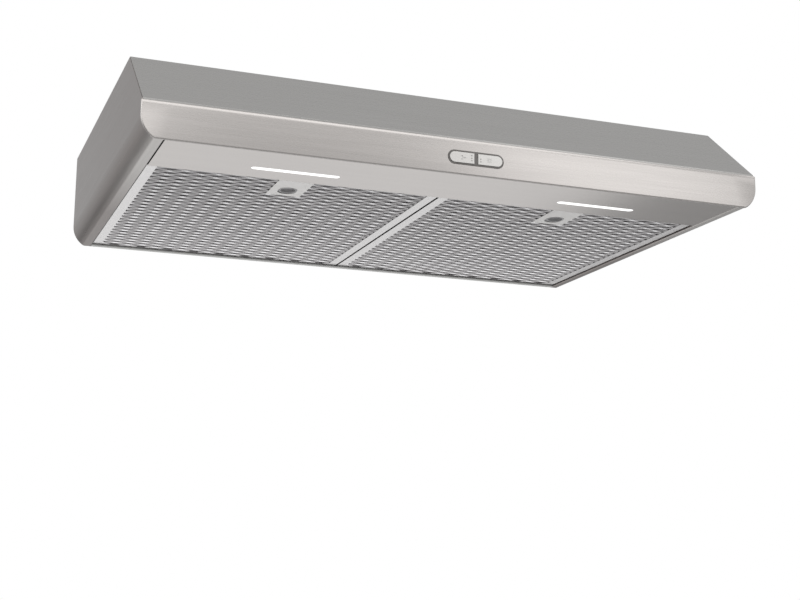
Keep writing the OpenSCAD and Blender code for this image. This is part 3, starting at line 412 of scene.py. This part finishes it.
def dress_cad_nodes():
    """Gives every CAD node the procedural material of its slot, and smooth shading on its bends."""
    slots = {part["node"]: part["material_slot"] for part in frame["record"]["subparts"]}
    for name, node in NODES.items():
        material = MATERIALS[slots[name]]
        node.data.materials.clear()
        node.data.materials.append(material)
        node.data.shade_smooth()
        node.data.set_sharp_from_angle(angle=math.radians(30))


# ---------------------------------------------------------------- pieces
# Fascia: its sheet, the radius of its edges, and the wide lip along its top
SHEET = 0.8 * MM
EDGE_R = 1.2 * MM
LIP_DEPTH, LIP_HEIGHT = 3.3 * MM, 5.4 * MM
# Corner at each end of the lip, outside and inside, and the steps round it
CORNER_R, INNER_CORNER_R = 1.6 * MM, 0.8 * MM
CORNER_STEPS = 6
# Lower end of the hood: the large bend, the small radius at its foot, and the height of both together
BEND_R, FOOT_R, BEND_H = 30 * MM, 6 * MM, 26 * MM
BEND_STEPS, FOOT_STEPS = 22, 8
# Stations along half of the lip, and steps round the fascia's edges
LIP_STEPS = 12
EDGE_STEPS = 8
# Seam above the light panel, and the sliver over which the fascia's edge steps back to it
SEAM, SEAM_STEP = 0.5 * MM, 0.001 * MM
# Window for the controls
WINDOW_L, WINDOW_W = 69.7 * MM, 16.8 * MM


def hood_outline():
    """The fascia's edge, read from the CAD boxes.

    Each entry holds the outer point, the point where the rounded edge meets the flat front,
    the rounding's depth and the rear y.
    """
    panel_low, panel_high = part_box("light_panel")
    half, base, top = FRONT_HIGH[0], FRONT_LOW[2], FRONT_HIGH[2]
    seam_x, rear = panel_high[0], panel_low[1]
    bend_x = half - BEND_R
    foot_x = bend_x + math.sqrt((BEND_R - FOOT_R) ** 2 - (BEND_H - FOOT_R) ** 2)
    turn = math.degrees(math.atan2(BEND_H - FOOT_R, foot_x - bend_x))

    def on_arc(cx, cz, radius, start, end, steps):
        outer = arc(cx, cz, radius, start, end, steps)
        return list(zip(outer, arc(cx, cz, radius - EDGE_R, start, end, steps)))

    edge = [((seam_x, base), (seam_x, base + EDGE_R))]
    edge += on_arc(foot_x, base + FOOT_R, FOOT_R, -90, -turn, FOOT_STEPS)
    edge += on_arc(bend_x, base + BEND_H, BEND_R, -turn, 0, BEND_STEPS)[1:]
    straight_end = top - LIP_HEIGHT - 2 * INNER_CORNER_R
    edge.append(((half, straight_end), (half - EDGE_R, straight_end)))
    right = [(outer, inner, EDGE_R, rear) for outer, inner in edge]
    # Small corner, where the side's edge widens into the lip
    outer_turn = arc(half - CORNER_R, top - CORNER_R, CORNER_R, 0, 90, CORNER_STEPS)
    inner_x, inner_z = half - EDGE_R - INNER_CORNER_R, top - LIP_HEIGHT - INNER_CORNER_R
    inner_turn = arc(inner_x, inner_z, INNER_CORNER_R, 0, 90, CORNER_STEPS)
    for i, (outer, inner) in enumerate(zip(outer_turn, inner_turn)):
        right.append((outer, inner, EDGE_R + (LIP_DEPTH - EDGE_R) * i / CORNER_STEPS, rear))
    left = [
        ((-outer[0], outer[1]), (-inner[0], inner[1]), depth, y)
        for outer, inner, depth, y in reversed(right)
    ]
    lip = []
    for i in range(1, 2 * LIP_STEPS):
        x = (half - EDGE_R - 2 * INNER_CORNER_R) * (1 - i / LIP_STEPS)
        lip.append(((x, top), (x, top - LIP_HEIGHT), LIP_DEPTH, rear))
    bottom = [
        ((x, base), (x, base + EDGE_R), EDGE_R, rear - SEAM)
        for x in (-seam_x + SEAM_STEP, seam_x - SEAM_STEP)
    ]
    return bottom + right + lip + left


def fascia():
    """Stamped steel pan with a wide rounded lip along the top and a small radius elsewhere."""
    points = hood_outline()
    front = FRONT_LOW[1]
    bm = bmesh.new()

    def ring(part, depth):
        """Vertices part of the way from the outer to the inner points, at a y given by depth.

        Part is a function of the distance between the points, and depth of the rounding's depth and
        the rear y.
        """
        verts = []
        for outer, inner, reach, rear in points:
            width = math.dist(outer, inner)
            t = part(width)
            x, z = (a + (b - a) * t for a, b in zip(outer, inner))
            verts.append(bm.verts.new((x, depth(reach, rear), z)))
        return verts

    shell = [ring(lambda width: 0, lambda reach, rear: rear)]
    for k in range(EDGE_STEPS + 1):
        a = math.pi / 2 * k / EDGE_STEPS
        shell.append(ring(lambda width, a=a: 1 - math.cos(a),
                          lambda reach, rear, a=a: front + reach * (1 - math.sin(a))))
    lining = [
        ring(lambda width: SHEET / width, lambda reach, rear: rear),
        ring(lambda width: SHEET / width, lambda reach, rear: min(rear, front + reach)),
        ring(lambda width: 1, lambda reach, rear: front + SHEET),
    ]
    loop_faces(bm, shell)
    loop_faces(bm, lining)
    loop_faces(bm, [shell[0], lining[0]])
    window = stadium(BEZEL_X, BEZEL_Z, WINDOW_L, WINDOW_W, 20)
    holes = []
    for y, rim in ((front, shell[-1]), (front + SHEET, lining[-1])):
        hole = [bm.verts.new((x, y, z)) for x, z in window]
        edges = [bm.edges.new((hole[i], hole[(i + 1) % len(hole)])) for i in range(len(hole))]
        for i in range(len(rim)):
            edge = bm.edges.get((rim[i], rim[(i + 1) % len(rim)]))
            edges.append(edge or bm.edges.new((rim[i], rim[(i + 1) % len(rim)])))
        bmesh.ops.triangle_fill(bm, edges=edges, use_beauty=True)
        holes.append(hole)
    loop_faces(bm, holes)
    piece = finish_mesh("fascia_shell", bm, MATERIALS["fascia_steel"], "hood", 40)
    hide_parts("front_fascia")


# Expanded sheet: length and width of a cell, and width and thickness of a strand
CELL_L, CELL_W = 37.2 * MM, 14.5 * MM
STRAND_W, STRAND_T = 1.95 * MM, 0.5 * MM
# Tilt of a strand at its bonds and halfway between them, and half the length of a bond
BOND_TILT, STRAND_TILT = math.radians(12), math.radians(24)
BOND_HALF = 2.7 * MM
# Beside each bond, the share of half a cell in which a strand makes most of its twist, and how much
TWIST_RUN, TWIST_SHARE = 0.1, 0.8
# Start of the cells, from the middle and the front of the filter
BOND_SHIFT_X, BOND_SHIFT_Y = 1.9 * MM, 0.4 * MM
# Height of a sheet's middle above the frame's face, and how far the sheet runs past the flat CAD one
SHEET_UP = 0.9 * MM
SHEET_OVER = 0.2 * MM
# Width of a frame's side strip that the sheet doesn't run over
STRIP_COVER = 9 * MM
# Length a latch slides when it is pulled, and how far the sheets and the pack stay clear of it
LATCH_TRAVEL = 5 * MM
SHEET_CLEAR = 1.5 * MM
PACK_SIDE_CLEAR, PACK_END_CLEAR = 2 * MM, 1 * MM
# Foil pack: how far its faces lie inside the frame's, and the pitch and half height of its folds
PACK_INSET = 2.6 * MM
FOLD_PITCH, FOLD_RISE = 5.2 * MM, 0.55 * MM
# Width of the pack's grid along a fold, and its steps across one
PACK_COLUMN = 9 * MM
STEPS_PER_FOLD = 4
# Points that a pack's blocks share are closer than this
SAME_POINT = 0.01 * MM


def strand_runs(k, window, start, cut):
    """Centre points, tilt, and polish with painted highlight of strand k, in unbroken runs inside the
    window.

    The window is x and y limits, start is where the cells begin, and cut is limits to leave open.
    """
    x_low, x_high, y_low, y_high = window
    x_start, y_start = start
    half_l, half_w = CELL_L / 2, CELL_W / 2
    shift_y, shift_z = STRAND_W / 2 * math.cos(BOND_TILT), STRAND_W / 2 * math.sin(BOND_TILT)
    margin = BOND_HALF / half_l
    steps = [(0, 0), (margin, 0), (margin + TWIST_RUN, TWIST_SHARE), (0.5, 1),
             (1 - margin - TWIST_RUN, TWIST_SHARE), (1 - margin, 0)]

    def at_bond(i):
        if (i + k) % 2:
            return y_start + k * half_w + shift_y, shift_z
        return y_start + (k + 1) * half_w - shift_y, -shift_z

    points = []
    first = math.floor((x_low - x_start) / half_l)
    last = math.ceil((x_high - x_start) / half_l)
    for i in range(first, last):
        (y0, z0), (y1, z1) = at_bond(i), at_bond(i + 1)
        for u, twist in steps:
            t = min(1, max(0, (u - margin) / (1 - 2 * margin)))
            tilt = BOND_TILT + twist * (STRAND_TILT - BOND_TILT)
            x, y, z = x_start + (i + u) * half_l, y0 + (y1 - y0) * t, z0 + (z1 - z0) * t
            points.append((x, y, z, tilt, 1 - twist))
    y, z = at_bond(last)
    points.append((x_start + last * half_l, y, z, BOND_TILT, 1))
    runs, run = [], []
    for point in points:
        x, y = point[:2]
        inside = x_low <= x <= x_high and y_low <= y <= y_high
        hidden = cut[0] < x < cut[1] and cut[2] < y < cut[3]
        if inside and not hidden:
            run.append(point)
        else:
            runs.append(run)
            run = []
    runs.append(run)
    return [r for r in runs if len(r) > 1]


def add_strand(bm, run, z_mid, flip, bond_polish_and_highlight):
    """Flat slit strand, which twists about its length; a flip of -1 turns it upside down."""
    rings = []
    for x, y, z, tilt, polish_and_highlight in run:
        across = (math.cos(tilt) * STRAND_W / 2, flip * math.sin(tilt) * STRAND_W / 2)
        through = (-flip * math.sin(tilt) * STRAND_T / 2, math.cos(tilt) * STRAND_T / 2)
        ring = []
        for a, b in ((-1, -1), (1, -1), (1, 1), (-1, 1)):
            vert = bm.verts.new((
                x,
                y + a * across[0] + b * through[0],
                z_mid + flip * z + a * across[1] + b * through[1],
            ))
            vert[bond_polish_and_highlight] = polish_and_highlight
            ring.append(vert)
        rings.append(ring)
    loop_faces(bm, rings)
    bm.faces.new(rings[0])
    bm.faces.new(list(reversed(rings[-1])))


def filter_sheets(side):
    """Expanded sheets under and over a filter's pad."""
    low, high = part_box(side + "_filter_frame")
    net_low, net_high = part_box(side + "_filter_mesh")
    latch_low, latch_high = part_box(side + "_latch")
    middle = (net_low[0] + net_high[0]) / 2 + BOND_SHIFT_X
    window = (low[0] + STRIP_COVER, high[0] - STRIP_COVER,
              net_low[1] - SHEET_OVER, net_high[1] + SHEET_OVER)
    start = (middle, low[1] + BOND_SHIFT_Y)
    cut = (latch_low[0] - SHEET_CLEAR, latch_high[0] + SHEET_CLEAR,
           low[1], latch_high[1] + LATCH_TRAVEL + SHEET_CLEAR)
    bm = bmesh.new()
    bond_polish_and_highlight = bm.verts.layers.float.new(BOND_POLISH_AND_HIGHLIGHT)
    rows = math.ceil((net_high[1] - net_low[1]) / (CELL_W / 2)) + 1
    # The first strands start before the window, which cuts them
    for k in range(-2, rows):
        for run in strand_runs(k, window, start, cut):
            add_strand(bm, run, low[2] + SHEET_UP, -1, bond_polish_and_highlight)
            add_strand(bm, run, high[2] - SHEET_UP, 1, bond_polish_and_highlight)
    piece = finish_mesh(side + "_expanded_sheets", bm, MATERIALS["mesh_aluminium"], side + "_filter", 50)
    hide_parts(side + "_filter_mesh")


def filter_pack(side):
    """Pack of corrugated foil layers between the sheets, open over the latch."""
    low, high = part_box(side + "_filter_pad")
    frame_low, frame_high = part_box(side + "_filter_frame")
    latch_low, latch_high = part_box(side + "_latch")
    bottom, top = frame_low[2] + PACK_INSET, frame_high[2] - PACK_INSET
    middle = (low[0] + high[0]) / 2
    latch_half = (latch_high[0] - latch_low[0]) / 2 + PACK_SIDE_CLEAR
    latch_end = latch_high[1] + LATCH_TRAVEL + PACK_END_CLEAR
    bm = bmesh.new()

    def slab(x0, x1, y0, y1):
        """Closed slab with folds on both faces, which sway a little along and across."""
        columns = max(2, math.ceil((x1 - x0) / PACK_COLUMN))
        rows = math.ceil((y1 - y0) / (FOLD_PITCH / STEPS_PER_FOLD))
        layers = []
        for z, sign in ((bottom, -1), (top, 1)):
            grid = []
            for j in range(rows + 1):
                y = y0 + (y1 - y0) * j / rows
                line = []
                for i in range(columns + 1):
                    x = x0 + (x1 - x0) * i / columns
                    sway = 1.6 * math.sin(x * 170) + 0.9 * math.sin(x * 61 + y * 40)
                    wave = math.cos(2 * math.pi * y / FOLD_PITCH + sway)
                    line.append(bm.verts.new((x, y, z + sign * FOLD_RISE * wave)))
                grid.append(line)
            layers.append(grid)
            for a, b in zip(grid, grid[1:]):
                for i in range(columns):
                    bm.faces.new((a[i], a[i + 1], b[i + 1], b[i]))
        under, over = layers
        for end in (0, -1):
            for j in range(rows):
                bm.faces.new((under[j][end], under[j + 1][end], over[j + 1][end], over[j][end]))
            for i in range(columns):
                bm.faces.new((under[end][i], under[end][i + 1], over[end][i + 1], over[end][i]))

    slab(low[0], middle - latch_half, low[1], high[1])
    slab(middle + latch_half, high[0], low[1], high[1])
    slab(middle - latch_half, middle + latch_half, latch_end, high[1])
    bmesh.ops.remove_doubles(bm, verts=bm.verts, dist=SAME_POINT)
    piece = finish_mesh(side + "_foil_pack", bm, MATERIALS["mesh_pad"], side + "_filter", 60)
    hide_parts(side + "_filter_pad")


# Button marks: how far they stand off, the middles of the signs from the bar, and the dots
MARK_OFF = 0.01 * MM
SIGN_X = 16.5 * MM
DOT_X, DOT_PITCH, DOT_UP, DOT_R = 5.6 * MM, 3.0 * MM, 0.2 * MM, 0.62 * MM
# Fan sign: length of a blade and, in degrees, how far it bows, leans at its start and turns on its way
BLADE_L, BLADE_BOW, BLADE_LEAN, BLADE_TURN = 3.1 * MM, 28, -14, 40
BLADE_STEPS = 12
# Lamp sign: radius of its ring, and where its rays start and end
RING_R, RAY_START, RAY_END = 1.7 * MM, 2.4 * MM, 3.4 * MM
RAYS = 8


def dot(bm, x, z, y, radius, height=0.12 * MM):
    """Low round boss on a face that looks to the front."""
    rings = []
    for r, rise in ((radius, 0), (radius, height * 0.6), (radius * 0.8, height)):
        rings.append([
            bm.verts.new((x + r * math.cos(a), y - rise, z + r * math.sin(a)))
            for a in (2 * math.pi * i / 16 for i in range(16))
        ])
    loop_faces(bm, rings)
    bm.faces.new(rings[-1])
    bm.faces.new(list(reversed(rings[0])))


def stroke(bm, points, y, width=0.35 * MM, height=0.06 * MM, closed=False):
    """Thin printed line along (x, z) points on a face that looks to the front."""
    count = len(points)
    rings = []
    for i, (x, z) in enumerate(points):
        xa, za = points[i - 1] if closed or i else points[0]
        xb, zb = points[(i + 1) % count] if closed or i < count - 1 else points[-1]
        length = math.hypot(xb - xa, zb - za)
        nx, nz = -(zb - za) / length * width / 2, (xb - xa) / length * width / 2
        rings.append([
            bm.verts.new((x + a * nx, y - b, z + a * nz))
            for a, b in ((-1, 0), (-1, height), (1, height), (1, 0))
        ])
    if closed:
        rings.append(rings[0])
    loop_faces(bm, rings)
    if not closed:
        bm.faces.new(rings[0])
        bm.faces.new(list(reversed(rings[-1])))


def mark_face(button):
    """The y of marks on a button's face."""
    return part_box(button)[0][1] + MARK_OFF


def status_dots(button, side, rows):
    """Small dots beside the bar, in as many rows."""
    bm = bmesh.new()
    for row in rows:
        place = BEZEL_X + side * DOT_X, BEZEL_Z + row * DOT_PITCH + DOT_UP
        dot(bm, *place, mark_face(button), DOT_R)
    piece = finish_mesh(button + "_dots", bm, MATERIALS["mark_ink"], button)


def fan_sign():
    """Three bowed blades."""
    bm = bmesh.new()
    centre_x = BEZEL_X - SIGN_X
    for turn in (90, 210, 330):
        blade = []
        for i in range(BLADE_STEPS + 1):
            bow = math.sin(math.pi * i / BLADE_STEPS)
            a = math.radians(turn + BLADE_BOW * bow + BLADE_LEAN + BLADE_TURN * i / BLADE_STEPS)
            r = BLADE_L * bow
            blade.append((centre_x + r * math.cos(a), BEZEL_Z + r * math.sin(a)))
        stroke(bm, blade[1:-1], mark_face("fan_button"), closed=True)
    piece = finish_mesh("fan_sign", bm, MATERIALS["faint_ink"], "fan_button")


def lamp_sign():
    """Ring with rays."""
    face = mark_face("light_button")
    bm = bmesh.new()
    centre_x = BEZEL_X + SIGN_X
    stroke(bm, arc(centre_x, BEZEL_Z, RING_R, 0, 345, 23), face, closed=True)
    for i in range(RAYS):
        a = 2 * math.pi * i / RAYS
        ends = [(centre_x + r * math.cos(a), BEZEL_Z + r * math.sin(a)) for r in (RAY_START, RAY_END)]
        stroke(bm, ends, face)
    piece = finish_mesh("lamp_sign", bm, MATERIALS["faint_ink"], "light_button")


# ---------------------------------------------------------------- scene
# Floor: its height under the hood, and half its side
FLOOR_Z = CAD_BOX[0][2] - 0.78
FLOOR_HALF = 20.0
# Lights: the world's strength on the object, and where the front lamps point
WORLD_LIGHT = 0.45
FASCIA_AIM = (0, -0.3, -0.1)
# Middle of the stretch of floor that the light panel mirrors, and the lamp's height over it
POOL_X, POOL_Y, POOL_UP = 0.18, 3.4, 0.08

# Camera: its place in metres, its turns in radians, its lens and sensor in mm, and its shift
EYE = (-0.6196, -1.6998, -0.5839)
EYE_HEADING, EYE_UP, EYE_ROLL = -0.3612, 0.2059, 0.0062
LENS, SENSOR = 62.78, 36
SHIFT_X, SHIFT_Y = 0.00275, -0.0045


def camera():
    """Low and to the left of the hood, looking up at its underside."""
    data = bpy.data.cameras.new("camera")
    data.sensor_width = SENSOR
    data.lens = LENS
    data.shift_x = SHIFT_X
    data.shift_y = SHIFT_Y
    eye = bpy.data.objects.new("camera", data)
    turn = Matrix.Rotation(EYE_HEADING, 4, "Z") @ Matrix.Rotation(EYE_UP + math.pi / 2, 4, "X")
    turn = turn @ Matrix.Rotation(EYE_ROLL, 4, "Z")
    eye.matrix_world = Matrix.Translation(EYE) @ turn
    bpy.context.collection.objects.link(eye)
    bpy.context.scene.camera = eye


def area_light(name, place, target, size, power):
    """Rectangular lamp that faces a target and doesn't show in the picture."""
    data = bpy.data.lights.new(name, "AREA")
    data.shape = "RECTANGLE"
    data.size, data.size_y = size
    data.energy = power
    lamp = bpy.data.objects.new(name, data)
    lamp.location = place
    lamp.visible_camera = False
    lamp.rotation_euler = (Vector(target) - Vector(place)).to_track_quat("-Z", "Y").to_euler()
    bpy.context.collection.objects.link(lamp)


def white_world():
    """White to the camera and in reflections, and a softer light on the object."""
    world = bpy.data.worlds.new("studio")
    bpy.context.scene.world = world
    world.use_nodes = True
    n = Nodes(world, "ShaderNodeOutputWorld")
    soft, white = n.add("ShaderNodeBackground"), n.add("ShaderNodeBackground")
    for background, strength in ((soft, WORLD_LIGHT), (white, 1.0)):
        background.inputs["Color"].default_value = (1, 1, 1, 1)
        background.inputs["Strength"].default_value = strength
    path = n.add("ShaderNodeLightPath")
    seen = path.outputs["Is Camera Ray"]
    for other in ("Is Glossy Ray", "Is Transmission Ray"):
        either = n.add("ShaderNodeMath", operation="MAXIMUM")
        n.link(seen, either.inputs[0])
        n.link(path.outputs[other], either.inputs[1])
        seen = either.outputs[0]
    n.surface(n.mix_shaders(soft, white, seen))


def floor():
    """Pale floor, which a camera under it looks straight through."""
    bm = bmesh.new()
    bmesh.ops.create_grid(bm, x_segments=1, y_segments=1, size=FLOOR_HALF)
    mesh = bpy.data.meshes.new("floor")
    bm.to_mesh(mesh)
    bm.free()
    ground = bpy.data.objects.new("floor", mesh)
    ground.location = (0, 0, FLOOR_Z)
    material = new_material("floor_paint")
    n = Nodes(material)
    paint = n.principled(Roughness=0.8)
    cloud = n.noise((1, 1, 1), 3.0, 2.0)
    tone = n.ramp(cloud, [(0.3, shade(WHITE, 0.80)), (0.7, shade(WHITE, 0.83))])
    n.link(tone, paint.inputs["Base Color"])
    underside = n.add("ShaderNodeNewGeometry").outputs["Backfacing"]
    to_camera = n.add("ShaderNodeLightPath").outputs["Is Camera Ray"]
    clear = n.add("ShaderNodeBsdfTransparent")
    n.surface(n.mix_shaders(paint, clear, n.multiply(underside, to_camera)))
    mesh.materials.append(material)
    bpy.context.collection.objects.link(ground)


def studio():
    """White world, pale floor and soft lamps, whose powers are in watts."""
    bpy.context.scene.view_settings.view_transform = "Standard"
    white_world()
    floor()
    area_light("front_right_softbox", (1.37, -2.4, 0.62), FASCIA_AIM, (0.8, 1.3), 3.9)
    area_light("front_left_softbox", (-0.6, -2.4, 0.62), FASCIA_AIM, (1.25, 1.3), 4.6)
    area_light("top_softbox", (0.5, -1.65, 2.1), (0.5, -1.65, 0), (2.2, 2.5), 21)
    area_light("left_softbox", (-1.9, -0.25, 0.35), (-0.4, -0.25, -0.1), (1.3, 1.1), 9)
    area_light("floor_pool", (POOL_X, POOL_Y, FLOOR_Z + POOL_UP), (POOL_X, POOL_Y, -2), (2.76, 5.4), 36.5)


camera()
studio()
dress_cad_nodes()
fascia()
for side in ("left", "right"):
    filter_sheets(side)
    filter_pack(side)
status_dots("fan_button", -1, (-1, 0, 1))
status_dots("light_button", 1, (-1, 0))
fan_sign()
lamp_sign()
